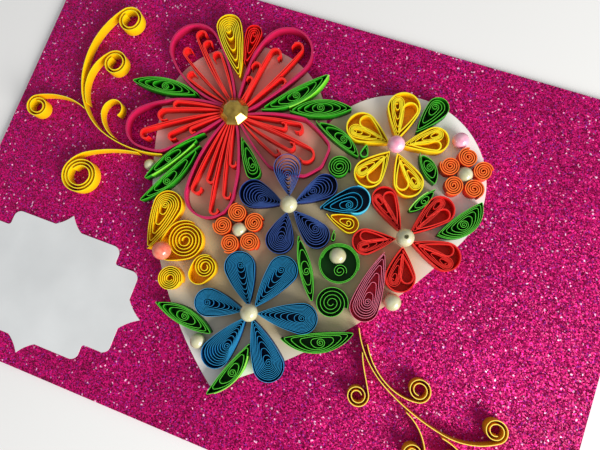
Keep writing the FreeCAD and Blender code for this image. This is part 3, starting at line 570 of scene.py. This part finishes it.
def quilled(node, chains, paper, seat=CARD_TOP, thickness=None, based=()):
    """Strips of one paper on edge, with a glued base in each chain that is named."""
    thickness = thickness or THICKNESS.get(paper, PAPER)
    section = bmesh.new()
    for chain in chains:
        lay_strip(section, chain, seat, thickness)
    raise_strips(section)
    for chain in based:
        lay_base(section, chain, seat)
    bmesh.ops.recalc_face_normals(section, faces=section.faces[:])
    return finish_piece(node + "_strips", section, PAPERS[paper], "paper_" + paper, node)


def edging(name, chain, paper, slot):
    """Strip of a brighter paper laid against a roll."""
    section = bmesh.new()
    lay_strip(section, chain, CARD_TOP, EDGE_STRIP)
    raise_strips(section)
    finish_piece(name + "_bright_edge", section, PAPERS[paper], slot)


def make_big_petals():
    for petal in RIM_ENDS:
        rims = [inset(rim(petal), depth) for depth in RIM_DEPTHS]
        quilled("big_petal_%s_rim" % petal, rims, "magenta", thickness=RIM_STRIP)
        curls = [strip for index in range(len(CURLS[petal])) for strip in curl(petal, index)]
        quilled("big_petal_%s_curls" % petal, curls, "red", thickness=CURL_STRIP)


def make_flowers():
    for flower, (x, y, tip_gap) in FLOWERS.items():
        chains = []
        outer = []
        for index, petal in enumerate(PETALS[flower]):
            heading, length, width, along, across = petal
            tip_x = x + tip_gap * math.cos(math.radians(heading))
            tip_y = y + tip_gap * math.sin(math.radians(heading))
            if flower in LOOP_SHARE:
                parts = side_rolled_petal(length, width, across, LOOP_SHARE[flower][index])
            else:
                parts = [teardrop_roll(length, width, along, across, FAN_TURNS[flower])]
            parts = [turned(part, tip_x, tip_y, heading) for part in parts]
            chains += parts
            outer.append(parts[0])
        quilled(flower + "_flower_petals", chains, PETAL_PAPERS[flower], based=outer)


def side_rolled_petal(length, width, across, share):
    """Two outer turns, a roll pushed to one side and an open loop beside it."""
    sense = 1 if across >= 0 else -1
    chains = [loop_turns(length, width, 2)]
    room = width / 2 - 0.75
    middle = length - width / 2
    loop_end = room * share
    roll_end = room - loop_end - 0.1
    for radius, way, tip, turns in ((roll_end, 62, 2.2, 5), (loop_end, -98, 3.4, 2)):
        reach = room - radius
        far_x = middle + reach * math.cos(math.radians(way)) - tip
        far_y = sense * reach * math.sin(math.radians(way))
        form_length = math.hypot(far_x, far_y) + radius
        if turns > 2:
            form = teardrop_roll(form_length, 2 * radius, form_length - radius, 0.1 * sense, turns)
        else:
            form = loop_turns(form_length, 2 * radius, turns)
        chains.append(turned(form, tip, 0, math.degrees(math.atan2(far_y, far_x))))
    return chains


def make_leaning_petal():
    x, y, heading, *form = LEANING
    section = bmesh.new()
    lay_strip(section, teardrop_roll(*form), 0)
    raise_strips(section)
    turn = Matrix.Rotation(math.radians(heading), 4, "Z")
    tilt = Matrix.Rotation(-math.radians(LEANING_TILT), 4, "Y")
    place = Matrix.Translation((x, y, CARD_TOP + LEANING_LIFT)) @ turn @ tilt
    bmesh.ops.transform(section, matrix=place, verts=section.verts[:])
    finish_piece("navy_leaning_petal_strips", section, PAPERS["navy"], "paper_navy", "navy_leaning_petal")


def make_teardrops():
    for name, (x, y, heading, *form) in TEARDROPS.items():
        chain = turned(teardrop_roll(*form), x, y, heading)
        quilled(name, [chain], TEARDROP_PAPERS[name], based=[chain])
    x, y, heading, length, width, *_ = TEARDROPS["teal_teardrop"]
    bright = [[length - width / 2, 0, width / 2 + 0.2, math.radians(-125), math.radians(70)]]
    edging("teal_teardrop", turned(bright, x, y, heading), "cyan", "paper_teal")
    quilled("leaf_middle_wide", [turned(loop_turns(6.4, 3.8, 2), 24.4, 47.8, -90)], "green")


def make_leaves():
    for name, (x, y, end_x, end_y, left, right, eye, turns) in LEAVES.items():
        length = math.hypot(end_x - x, end_y - y)
        heading = math.degrees(math.atan2(end_y - y, end_x - x))
        if turns > 1:
            chain = leaf_roll(length, left, right, eye, turns)
        else:
            chain = loop_turns(length, left + right)
        chain = turned(chain, x, y, heading)
        quilled(name, [chain], "green", based=[chain] if turns > 1 else [])
        if name in LIME_SIDES:
            link, first, last = LIME_SIDES[name]
            sides = [arc for arc in chain if arc[2] > 2 * FOLD]
            cx, cy, radius, start, end = sides[link]
            edge_arc = [cx, cy, radius + 0.3, start + first * (end - start), start + last * (end - start)]
            edging(name, [edge_arc], "lime", "paper_green")


def make_coils():
    for name, (x, y, *form) in COILS.items():
        chains = [turned(coil(*form), x, y, 0)]
        if name == "green_ring":
            chains.append(turned(coil(*RING_CORE[2:]), RING_CORE[0], RING_CORE[1], 0))
        base = [chains[0]]
        quilled(name, chains, "gold" if name.startswith("yellow") else "green", based=base)
    for name, form in SCROLLS.items():
        chain = scroll(*form)
        quilled(name, [chain], "gold", based=[chain])
    for flower, (x, y, ring_radius, first_bearing) in RINGS.items():
        chains = []
        for index in range(RING_COILS):
            bearing = math.radians(first_bearing + index * 360 / RING_COILS)
            spot = (x + ring_radius * math.cos(bearing), y + ring_radius * math.sin(bearing))
            chains.append(turned(coil(*ORANGE_COIL), *spot, math.degrees(bearing)))
        node = flower + "_flower_coils"
        quilled(node, chains, "orange", thickness=COIL_STRIP, based=chains)


def tendril(name):
    x, y, heading, radius, turns, sense = TENDRILS[name]
    return stem(x, y, heading, STEM_BENDS[name], radius, turns, sense)


def make_tendrils():
    for side, seat, paper in (("left", CARD_TOP, "lemon"), ("right", SHEET_TOP, "amber")):
        main = side + "_stem"
        branches = [name for name in TENDRILS if name.startswith(side) and name != main]
        quilled("tendril_" + main, [tendril(main)], paper, seat, TENDRIL_PAPER)
        chains = [tendril(name) for name in branches]
        quilled("tendril_%s_branches" % side, chains, paper, SHEET_TOP, TENDRIL_PAPER)


def lay_pearl(shape, x, y, diameter, seat):
    """Round pearl cut flat where it is glued."""
    middle = seat + diameter / 2 * math.sin(PEARL_FLAT)
    made = bmesh.ops.create_uvsphere(
        shape, u_segments=40, v_segments=24, radius=diameter / 2, matrix=Matrix.Translation((x, y, middle))
    )
    around = {edge for vert in made["verts"] for edge in vert.link_edges}
    faces = {face for vert in made["verts"] for face in vert.link_faces}
    ball = [*made["verts"], *around, *faces]
    cut = bmesh.ops.bisect_plane(
        shape, geom=ball, plane_co=(0, 0, seat), plane_no=(0, 0, 1), clear_inner=True
    )
    rim_edges = [item for item in cut["geom_cut"] if isinstance(item, bmesh.types.BMEdge)]
    bmesh.ops.contextual_create(shape, geom=rim_edges)


def make_pearls():
    for node, places in PEARLS.items():
        shape = bmesh.new()
        for spot in places:
            lay_pearl(shape, *spot)
        bmesh.ops.recalc_face_normals(shape, faces=shape.faces[:])
        slot = {"cream_pearls": "pearl_cream", "pink_pearls": "pearl_pink"}.get(node, "pearl_coral")
        finish_piece(node + "_round", shape, PEARL_COATS[slot], slot, node)
    bead = bmesh.new()
    lay_pearl(bead, *BEAD)
    crown = [vert for vert in bead.verts if math.hypot(vert.co.x - BEAD[0], vert.co.y - BEAD[1]) < 0.75]
    crown = [vert for vert in crown if vert.co.z > BEAD[3] + BEAD[2] / 2]
    bmesh.ops.translate(bead, verts=crown, vec=(0, 0, -3))
    bmesh.ops.recalc_face_normals(bead, faces=bead.faces[:])
    finish_piece("red_flower_bead_round", bead, PEARL_COATS["pearl_cream"], "pearl_cream", "red_flower_bead")


def make_gem():
    """Half gem with eight sides: a girdle, long facets, a low table."""
    shape = bmesh.new()
    turn = Matrix.Translation((*GEM, ON_STRIPS)) @ Matrix.Rotation(GEM_TURN, 4, "Z")
    bmesh.ops.create_circle(shape, cap_ends=True, segments=8, radius=GEM_RADIUS, matrix=turn)
    for rise, width in GEM_STEPS:
        top = max(shape.faces, key=lambda face: face.calc_center_median().z)
        inside = [] if len(shape.faces) == 1 else [top]
        made = bmesh.ops.extrude_face_region(shape, geom=[top])
        bmesh.ops.delete(shape, geom=inside, context="FACES_ONLY")
        verts = [item for item in made["geom"] if isinstance(item, bmesh.types.BMVert)]
        bmesh.ops.translate(shape, verts=verts, vec=(0, 0, rise))
        about = Matrix.Translation((-GEM[0], -GEM[1], 0))
        bmesh.ops.scale(shape, vec=(width, width, 1), verts=verts, space=about)
    bmesh.ops.recalc_face_normals(shape, faces=shape.faces[:])
    crown = [edge for edge in shape.edges if min(vert.co.z for vert in edge.verts) > ON_STRIPS + 0.5]
    bmesh.ops.bevel(shape, geom=crown, offset=0.12, segments=1, profile=0.5, affect="EDGES", material=-1)
    finish_piece("centre_gem_cut", shape, GEM_GOLD, "gem_gold", "centre_gem", sharp=5)


# Materials

def add(tree, kind, inputs=None, **settings):
    """Add a node. Inputs are constants or the sockets that feed them."""
    made = tree.nodes.new(kind)
    for key, value in settings.items():
        setattr(made, key, value)
    for key, value in (inputs or {}).items():
        if isinstance(value, bpy.types.NodeSocket):
            tree.links.new(value, made.inputs[key])
        else:
            made.inputs[key].default_value = value
    return made


def rgb(red, green, blue):
    """Linear colour from the eight-bit one that is seen."""
    linear = []
    for part in (red, green, blue):
        part /= 255
        linear.append(part / 12.92 if part <= 0.04045 else ((part + 0.055) / 1.055) ** 2.4)
    return (*linear, 1)


def new_material(name, roughness, **settings):
    material = bpy.data.materials.new(name)
    material.use_nodes = True
    shader = material.node_tree.nodes["Principled BSDF"]
    shader.inputs["Roughness"].default_value = roughness
    for key, value in settings.items():
        shader.inputs[key.replace("_", " ")].default_value = value
    return material, material.node_tree, shader


def mixed(tree, share, first, second, blend="MIX"):
    inputs = {0: share, 6: first, 7: second}
    return add(tree, "ShaderNodeMix", inputs, data_type="RGBA", blend_type=blend).outputs[2]


def spread(tree, value, low, high, to_low=0.0, to_high=1.0):
    inputs = {"Value": value, "From Min": low, "From Max": high, "To Min": to_low, "To Max": to_high}
    return add(tree, "ShaderNodeMapRange", inputs).outputs[0]


def mottle(tree, scale, detail=2.0):
    place = add(tree, "ShaderNodeTexCoord").outputs["Object"]
    return add(tree, "ShaderNodeTexNoise", {"Vector": place, "Scale": scale, "Detail": detail}).outputs[0]


def coloured_paper(name, wall, deep, edge, painted_foot_shade):
    """Strip paper: fibres, patches of tone, a painted highlight on the upward cut edge, painted shade that
    darkens the walls towards the foot.
    """
    material, tree, shader = new_material(name, 0.5)
    shader.inputs["Specular IOR Level"].default_value = 0.22
    patches = spread(tree, mottle(tree, 60), 0.35, 0.65)
    tone = mixed(tree, patches, rgb(*deep), rgb(*wall))
    fibre_tone = spread(tree, mottle(tree, 1600, 4), 0.3, 0.7, 0.86, 1.1)
    fibre = add(tree, "ShaderNodeCombineColor", {0: fibre_tone, 1: fibre_tone, 2: fibre_tone})
    tone = mixed(tree, 1.0, tone, fibre.outputs[0], "MULTIPLY")
    place = add(tree, "ShaderNodeTexCoord").outputs["Object"]
    height = add(tree, "ShaderNodeSeparateXYZ", {0: place}).outputs[2]
    # Painted shade: the walls darken towards their foot, going by height.
    tone = mixed(tree, spread(tree, height, 0.0028, 0.0066), rgb(*painted_foot_shade), tone)
    # Painted highlight: faces that look up near the top of a strip take the paler edge colour.
    facing = add(tree, "ShaderNodeSeparateXYZ", {0: add(tree, "ShaderNodeNewGeometry").outputs["Normal"]})
    upward = spread(tree, facing.outputs[2], 0.6, 0.9)
    near_top = spread(tree, height, 0.005, 0.006)
    cut = add(tree, "ShaderNodeMath", {0: upward, 1: near_top}, operation="MULTIPLY").outputs[0]
    tree.links.new(mixed(tree, cut, tone, rgb(*edge)), shader.inputs["Base Color"])
    grain = {"Height": mottle(tree, 3000, 3), "Strength": 0.25, "Distance": 0.00005}
    tree.links.new(add(tree, "ShaderNodeBump", grain).outputs[0], shader.inputs["Normal"])
    return material


def glitter(name):
    """Magenta glitter: flakes at all tilts, some of them white, pink or violet."""
    material, tree, shader = new_material(name, 0.4)
    shader.inputs["Specular IOR Level"].default_value = 0.12
    place = add(tree, "ShaderNodeTexCoord").outputs["Object"]
    flakes = add(tree, "ShaderNodeTexVoronoi", {"Vector": place, "Scale": 2000.0})
    chips = add(tree, "ShaderNodeTexVoronoi", {"Vector": place, "Scale": 1300.0})
    parts = add(tree, "ShaderNodeSeparateColor", {0: flakes.outputs["Color"]})
    picks = add(tree, "ShaderNodeSeparateColor", {0: chips.outputs["Color"]})
    ground = mixed(tree, parts.outputs[0], rgb(112, 2, 52), rgb(208, 16, 112))
    violet = mixed(tree, spread(tree, parts.outputs[1], 0.92, 0.95), ground, rgb(175, 45, 165))
    bright = mixed(tree, spread(tree, picks.outputs[2], 0.982, 0.99), violet, rgb(255, 190, 225))
    patches = spread(tree, mottle(tree, 25, 3), 0.35, 0.65, 0.88, 1.08)
    shade = add(tree, "ShaderNodeCombineColor", {0: patches, 1: patches, 2: patches})
    tree.links.new(mixed(tree, 1.0, bright, shade.outputs[0], "MULTIPLY"), shader.inputs["Base Color"])
    tree.links.new(spread(tree, parts.outputs[2], 0.5, 0.9, 0.05, 0.5), shader.inputs["Metallic"])
    middle = {0: flakes.outputs["Color"], 1: (0.5, 0.5, 0.5)}
    centred = add(tree, "ShaderNodeVectorMath", middle, operation="SUBTRACT")
    tilted = add(tree, "ShaderNodeVectorMath", {0: centred.outputs[0], "Scale": 0.8}, operation="SCALE")
    flat = add(tree, "ShaderNodeNewGeometry").outputs["Normal"]
    summed = add(tree, "ShaderNodeVectorMath", {0: tilted.outputs[0], 1: flat})
    facing = add(tree, "ShaderNodeVectorMath", {0: summed.outputs[0]}, operation="NORMALIZE")
    tree.links.new(facing.outputs[0], shader.inputs["Normal"])
    return material


def plain_card(name, light, dark, creases):
    """Card with soft creases and fine tooth."""
    material, tree, shader = new_material(name, 0.7)
    patches = spread(tree, mottle(tree, creases, 4), 0.3, 0.7)
    tree.links.new(mixed(tree, patches, rgb(*dark), rgb(*light)), shader.inputs["Base Color"])
    waves = {"Height": mottle(tree, creases, 2), "Strength": 0.5, "Distance": 0.001}
    soft = add(tree, "ShaderNodeBump", waves).outputs[0]
    tooth = {"Height": mottle(tree, 2500, 3), "Strength": 0.2, "Distance": 0.00005, "Normal": soft}
    tree.links.new(add(tree, "ShaderNodeBump", tooth).outputs[0], shader.inputs["Normal"])
    return material


def heart_white(name):
    """White card with painted shade: a warm brownish tone painted between the rolls and a painted red
    reflection in the big flower.
    """
    material, tree, shader = new_material(name, 0.7)
    place = add(tree, "ShaderNodeTexCoord").outputs["Object"]
    colour = rgb(244, 240, 236)
    # Painted shade and painted reflected colour: centre, full-strength reach, fade-out reach, tone.
    painted_shade_and_reflection_spots = (
        ((0.006, 0.004), 0.05, 0.075, (196, 178, 140)),
        ((GEM[0] * MM, GEM[1] * MM), 0.032, 0.05, (226, 150, 138)),
    )
    for (x, y), near, far, tone in painted_shade_and_reflection_spots:
        ends = {0: place, 1: (x, y, CARD_TOP * MM)}
        offset = add(tree, "ShaderNodeVectorMath", ends, operation="DISTANCE").outputs["Value"]
        share = spread(tree, offset, near, far, 1.0, 0.0)
        colour = mixed(tree, share, colour, rgb(*tone))
    patches = spread(tree, mottle(tree, 40, 4), 0.3, 0.7, 0.94, 1.0)
    shade = add(tree, "ShaderNodeCombineColor", {0: patches, 1: patches, 2: patches})
    tree.links.new(mixed(tree, 1.0, colour, shade.outputs[0], "MULTIPLY"), shader.inputs["Base Color"])
    tooth = {"Height": mottle(tree, 2500, 3), "Strength": 0.2, "Distance": 0.00005}
    tree.links.new(add(tree, "ShaderNodeBump", tooth).outputs[0], shader.inputs["Normal"])
    return material


def pearl_coat(name, colour, pale):
    """Pearly lacquer with faint swirls under a clear gloss."""
    material, tree, shader = new_material(name, 0.28)
    shader.inputs["Coat Weight"].default_value = 0.6
    shader.inputs["Coat Roughness"].default_value = 0.12
    swirls = spread(tree, mottle(tree, 350, 3), 0.35, 0.65)
    tree.links.new(mixed(tree, swirls, rgb(*colour), rgb(*pale)), shader.inputs["Base Color"])
    return material


def gem_lacquer(name):
    """Dark gold foil behind clear facets."""
    material, tree, shader = new_material(name, 0.12)
    shader.inputs["Metallic"].default_value = 0.85
    shader.inputs["Coat Weight"].default_value = 0.5
    shader.inputs["Coat Roughness"].default_value = 0.03
    streaks = spread(tree, mottle(tree, 300, 2), 0.3, 0.7)
    tree.links.new(mixed(tree, streaks, rgb(150, 118, 40), rgb(215, 180, 80)), shader.inputs["Base Color"])
    return material


# Paper of each kind: name, its wall, its patches, the painted highlight on its cut edge, the painted shade
# at the foot of its walls
PAPER_TONES = {
    "magenta": ("magenta_rim_paper", (222, 36, 98), (190, 18, 70), (206, 48, 98), (150, 10, 45)),
    "red": ("red_strip_paper", (248, 28, 30), (234, 14, 18), (255, 58, 50), (196, 44, 30)),
    "green": ("green_leaf_paper", (38, 168, 18), (16, 126, 12), (98, 215, 66), (8, 70, 8)),
    "lime": ("lime_leaf_paper", (120, 230, 40), (95, 215, 30), (185, 250, 105), (60, 170, 20)),
    "navy": ("navy_petal_paper", (24, 52, 128), (14, 32, 96), (66, 96, 168), (8, 16, 48)),
    "blue": ("blue_petal_paper", (8, 92, 160), (4, 68, 130), (50, 160, 215), (4, 42, 84)),
    "teal": ("teal_petal_paper", (0, 88, 132), (0, 62, 104), (40, 170, 215), (0, 38, 66)),
    "cyan": ("bright_edge_paper", (50, 215, 250), (30, 195, 240), (120, 235, 255), (20, 160, 220)),
    "orange": ("orange_coil_paper", (252, 84, 18), (232, 56, 8), (255, 120, 48), (210, 40, 4)),
    "pink": ("pink_teardrop_paper", (232, 60, 104), (214, 44, 86), (252, 136, 165), (214, 60, 92)),
    "lemon": ("lemon_strip_paper", (255, 218, 0), (248, 196, 0), (255, 240, 50), (236, 176, 4)),
    "amber": ("amber_tendril_paper", (250, 192, 34), (232, 158, 14), (255, 226, 90), (205, 130, 10)),
    "gold": ("golden_petal_paper", (255, 212, 0), (250, 186, 0), (255, 236, 40), (240, 172, 6)),
}
PAPERS = {paper: coloured_paper(*tones) for paper, tones in PAPER_TONES.items()}
PEARL_COATS = {
    "pearl_cream": pearl_coat("cream_pearl_coat", (188, 184, 142), (208, 206, 174)),
    "pearl_pink": pearl_coat("pink_pearl_coat", (240, 150, 180), (250, 195, 212)),
    "pearl_coral": pearl_coat("coral_pearl_coat", (226, 92, 70), (242, 140, 112)),
}
GEM_GOLD = gem_lacquer("gem_gold_foil")
CAD_FINISHES = {
    "backing_sheet": glitter("magenta_glitter"),
    "heart_card": heart_white("white_heart_card"),
    "label_card": plain_card("pale_label_card", (226, 229, 230), (212, 215, 216), 30),
}


def dress_cad_nodes():
    for node, material in CAD_FINISHES.items():
        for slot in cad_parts[node].material_slots:
            slot.material = material


# Floor, light and camera

def make_floor():
    shape = bmesh.new()
    bmesh.ops.create_grid(shape, x_segments=1, y_segments=1, size=3)
    bmesh.ops.translate(shape, verts=shape.verts[:], vec=(0, 0, -0.0001))
    mesh = bpy.data.meshes.new("table_top")
    shape.to_mesh(mesh)
    shape.free()
    material, tree, shader = new_material("pale_table", 0.6)
    shade = spread(tree, mottle(tree, 3, 2), 0.3, 0.7)
    tree.links.new(mixed(tree, shade, rgb(238, 238, 236), rgb(246, 246, 245)), shader.inputs["Base Color"])
    mesh.materials.append(material)
    floor = bpy.data.objects.new("table_top", mesh)
    bpy.context.scene.collection.objects.link(floor)


def aim(thing, target):
    way = Vector(target) - thing.location
    thing.rotation_euler = way.to_track_quat("-Z", "Y").to_euler()


def make_lights():
    world = bpy.data.worlds.new("soft_room")
    bpy.context.scene.world = world
    world.use_nodes = True
    back = world.node_tree.nodes["Background"]
    back.inputs["Color"].default_value = (0.97, 0.98, 1.0, 1)
    back.inputs["Strength"].default_value = 0.45
    window = bpy.data.lights.new("window", "AREA")
    window.shape = "RECTANGLE"
    window.size = 0.6
    window.size_y = 0.45
    window.energy = 15
    window.color = (1.0, 0.98, 0.95)
    holder = bpy.data.objects.new("window", window)
    bpy.context.scene.collection.objects.link(holder)
    bearing = math.radians(-24)
    height = math.radians(24)
    holder.location = (
        math.cos(bearing) * math.cos(height),
        math.sin(bearing) * math.cos(height),
        math.sin(height),
    )
    aim(holder, (0, 0, 0))


def make_camera():
    lens = bpy.data.cameras.new("photo_view")
    lens.sensor_width = 36
    lens.lens = 27
    lens.clip_start = 0.01
    camera = bpy.data.objects.new("photo_view", lens)
    bpy.context.scene.collection.objects.link(camera)
    right = Vector((0.9368, 0.3419, -0.0750)).normalized()
    back = Vector((0.1198, -0.1119, 0.9865))
    back = (back - back.dot(right) * right).normalized()
    up = back.cross(right)
    turn = Matrix((right, up, back)).transposed().to_4x4()
    camera.matrix_world = Matrix.Translation((32.3 * MM, -20.1 * MM, 207.1 * MM)) @ turn
    bpy.context.scene.camera = camera


make_camera()
make_lights()
make_floor()
dress_cad_nodes()
make_big_petals()
make_flowers()
make_leaning_petal()
make_teardrops()
make_leaves()
make_coils()
make_tendrils()
make_pearls()
make_gem()
bpy.context.scene.view_settings.view_transform = "Standard"
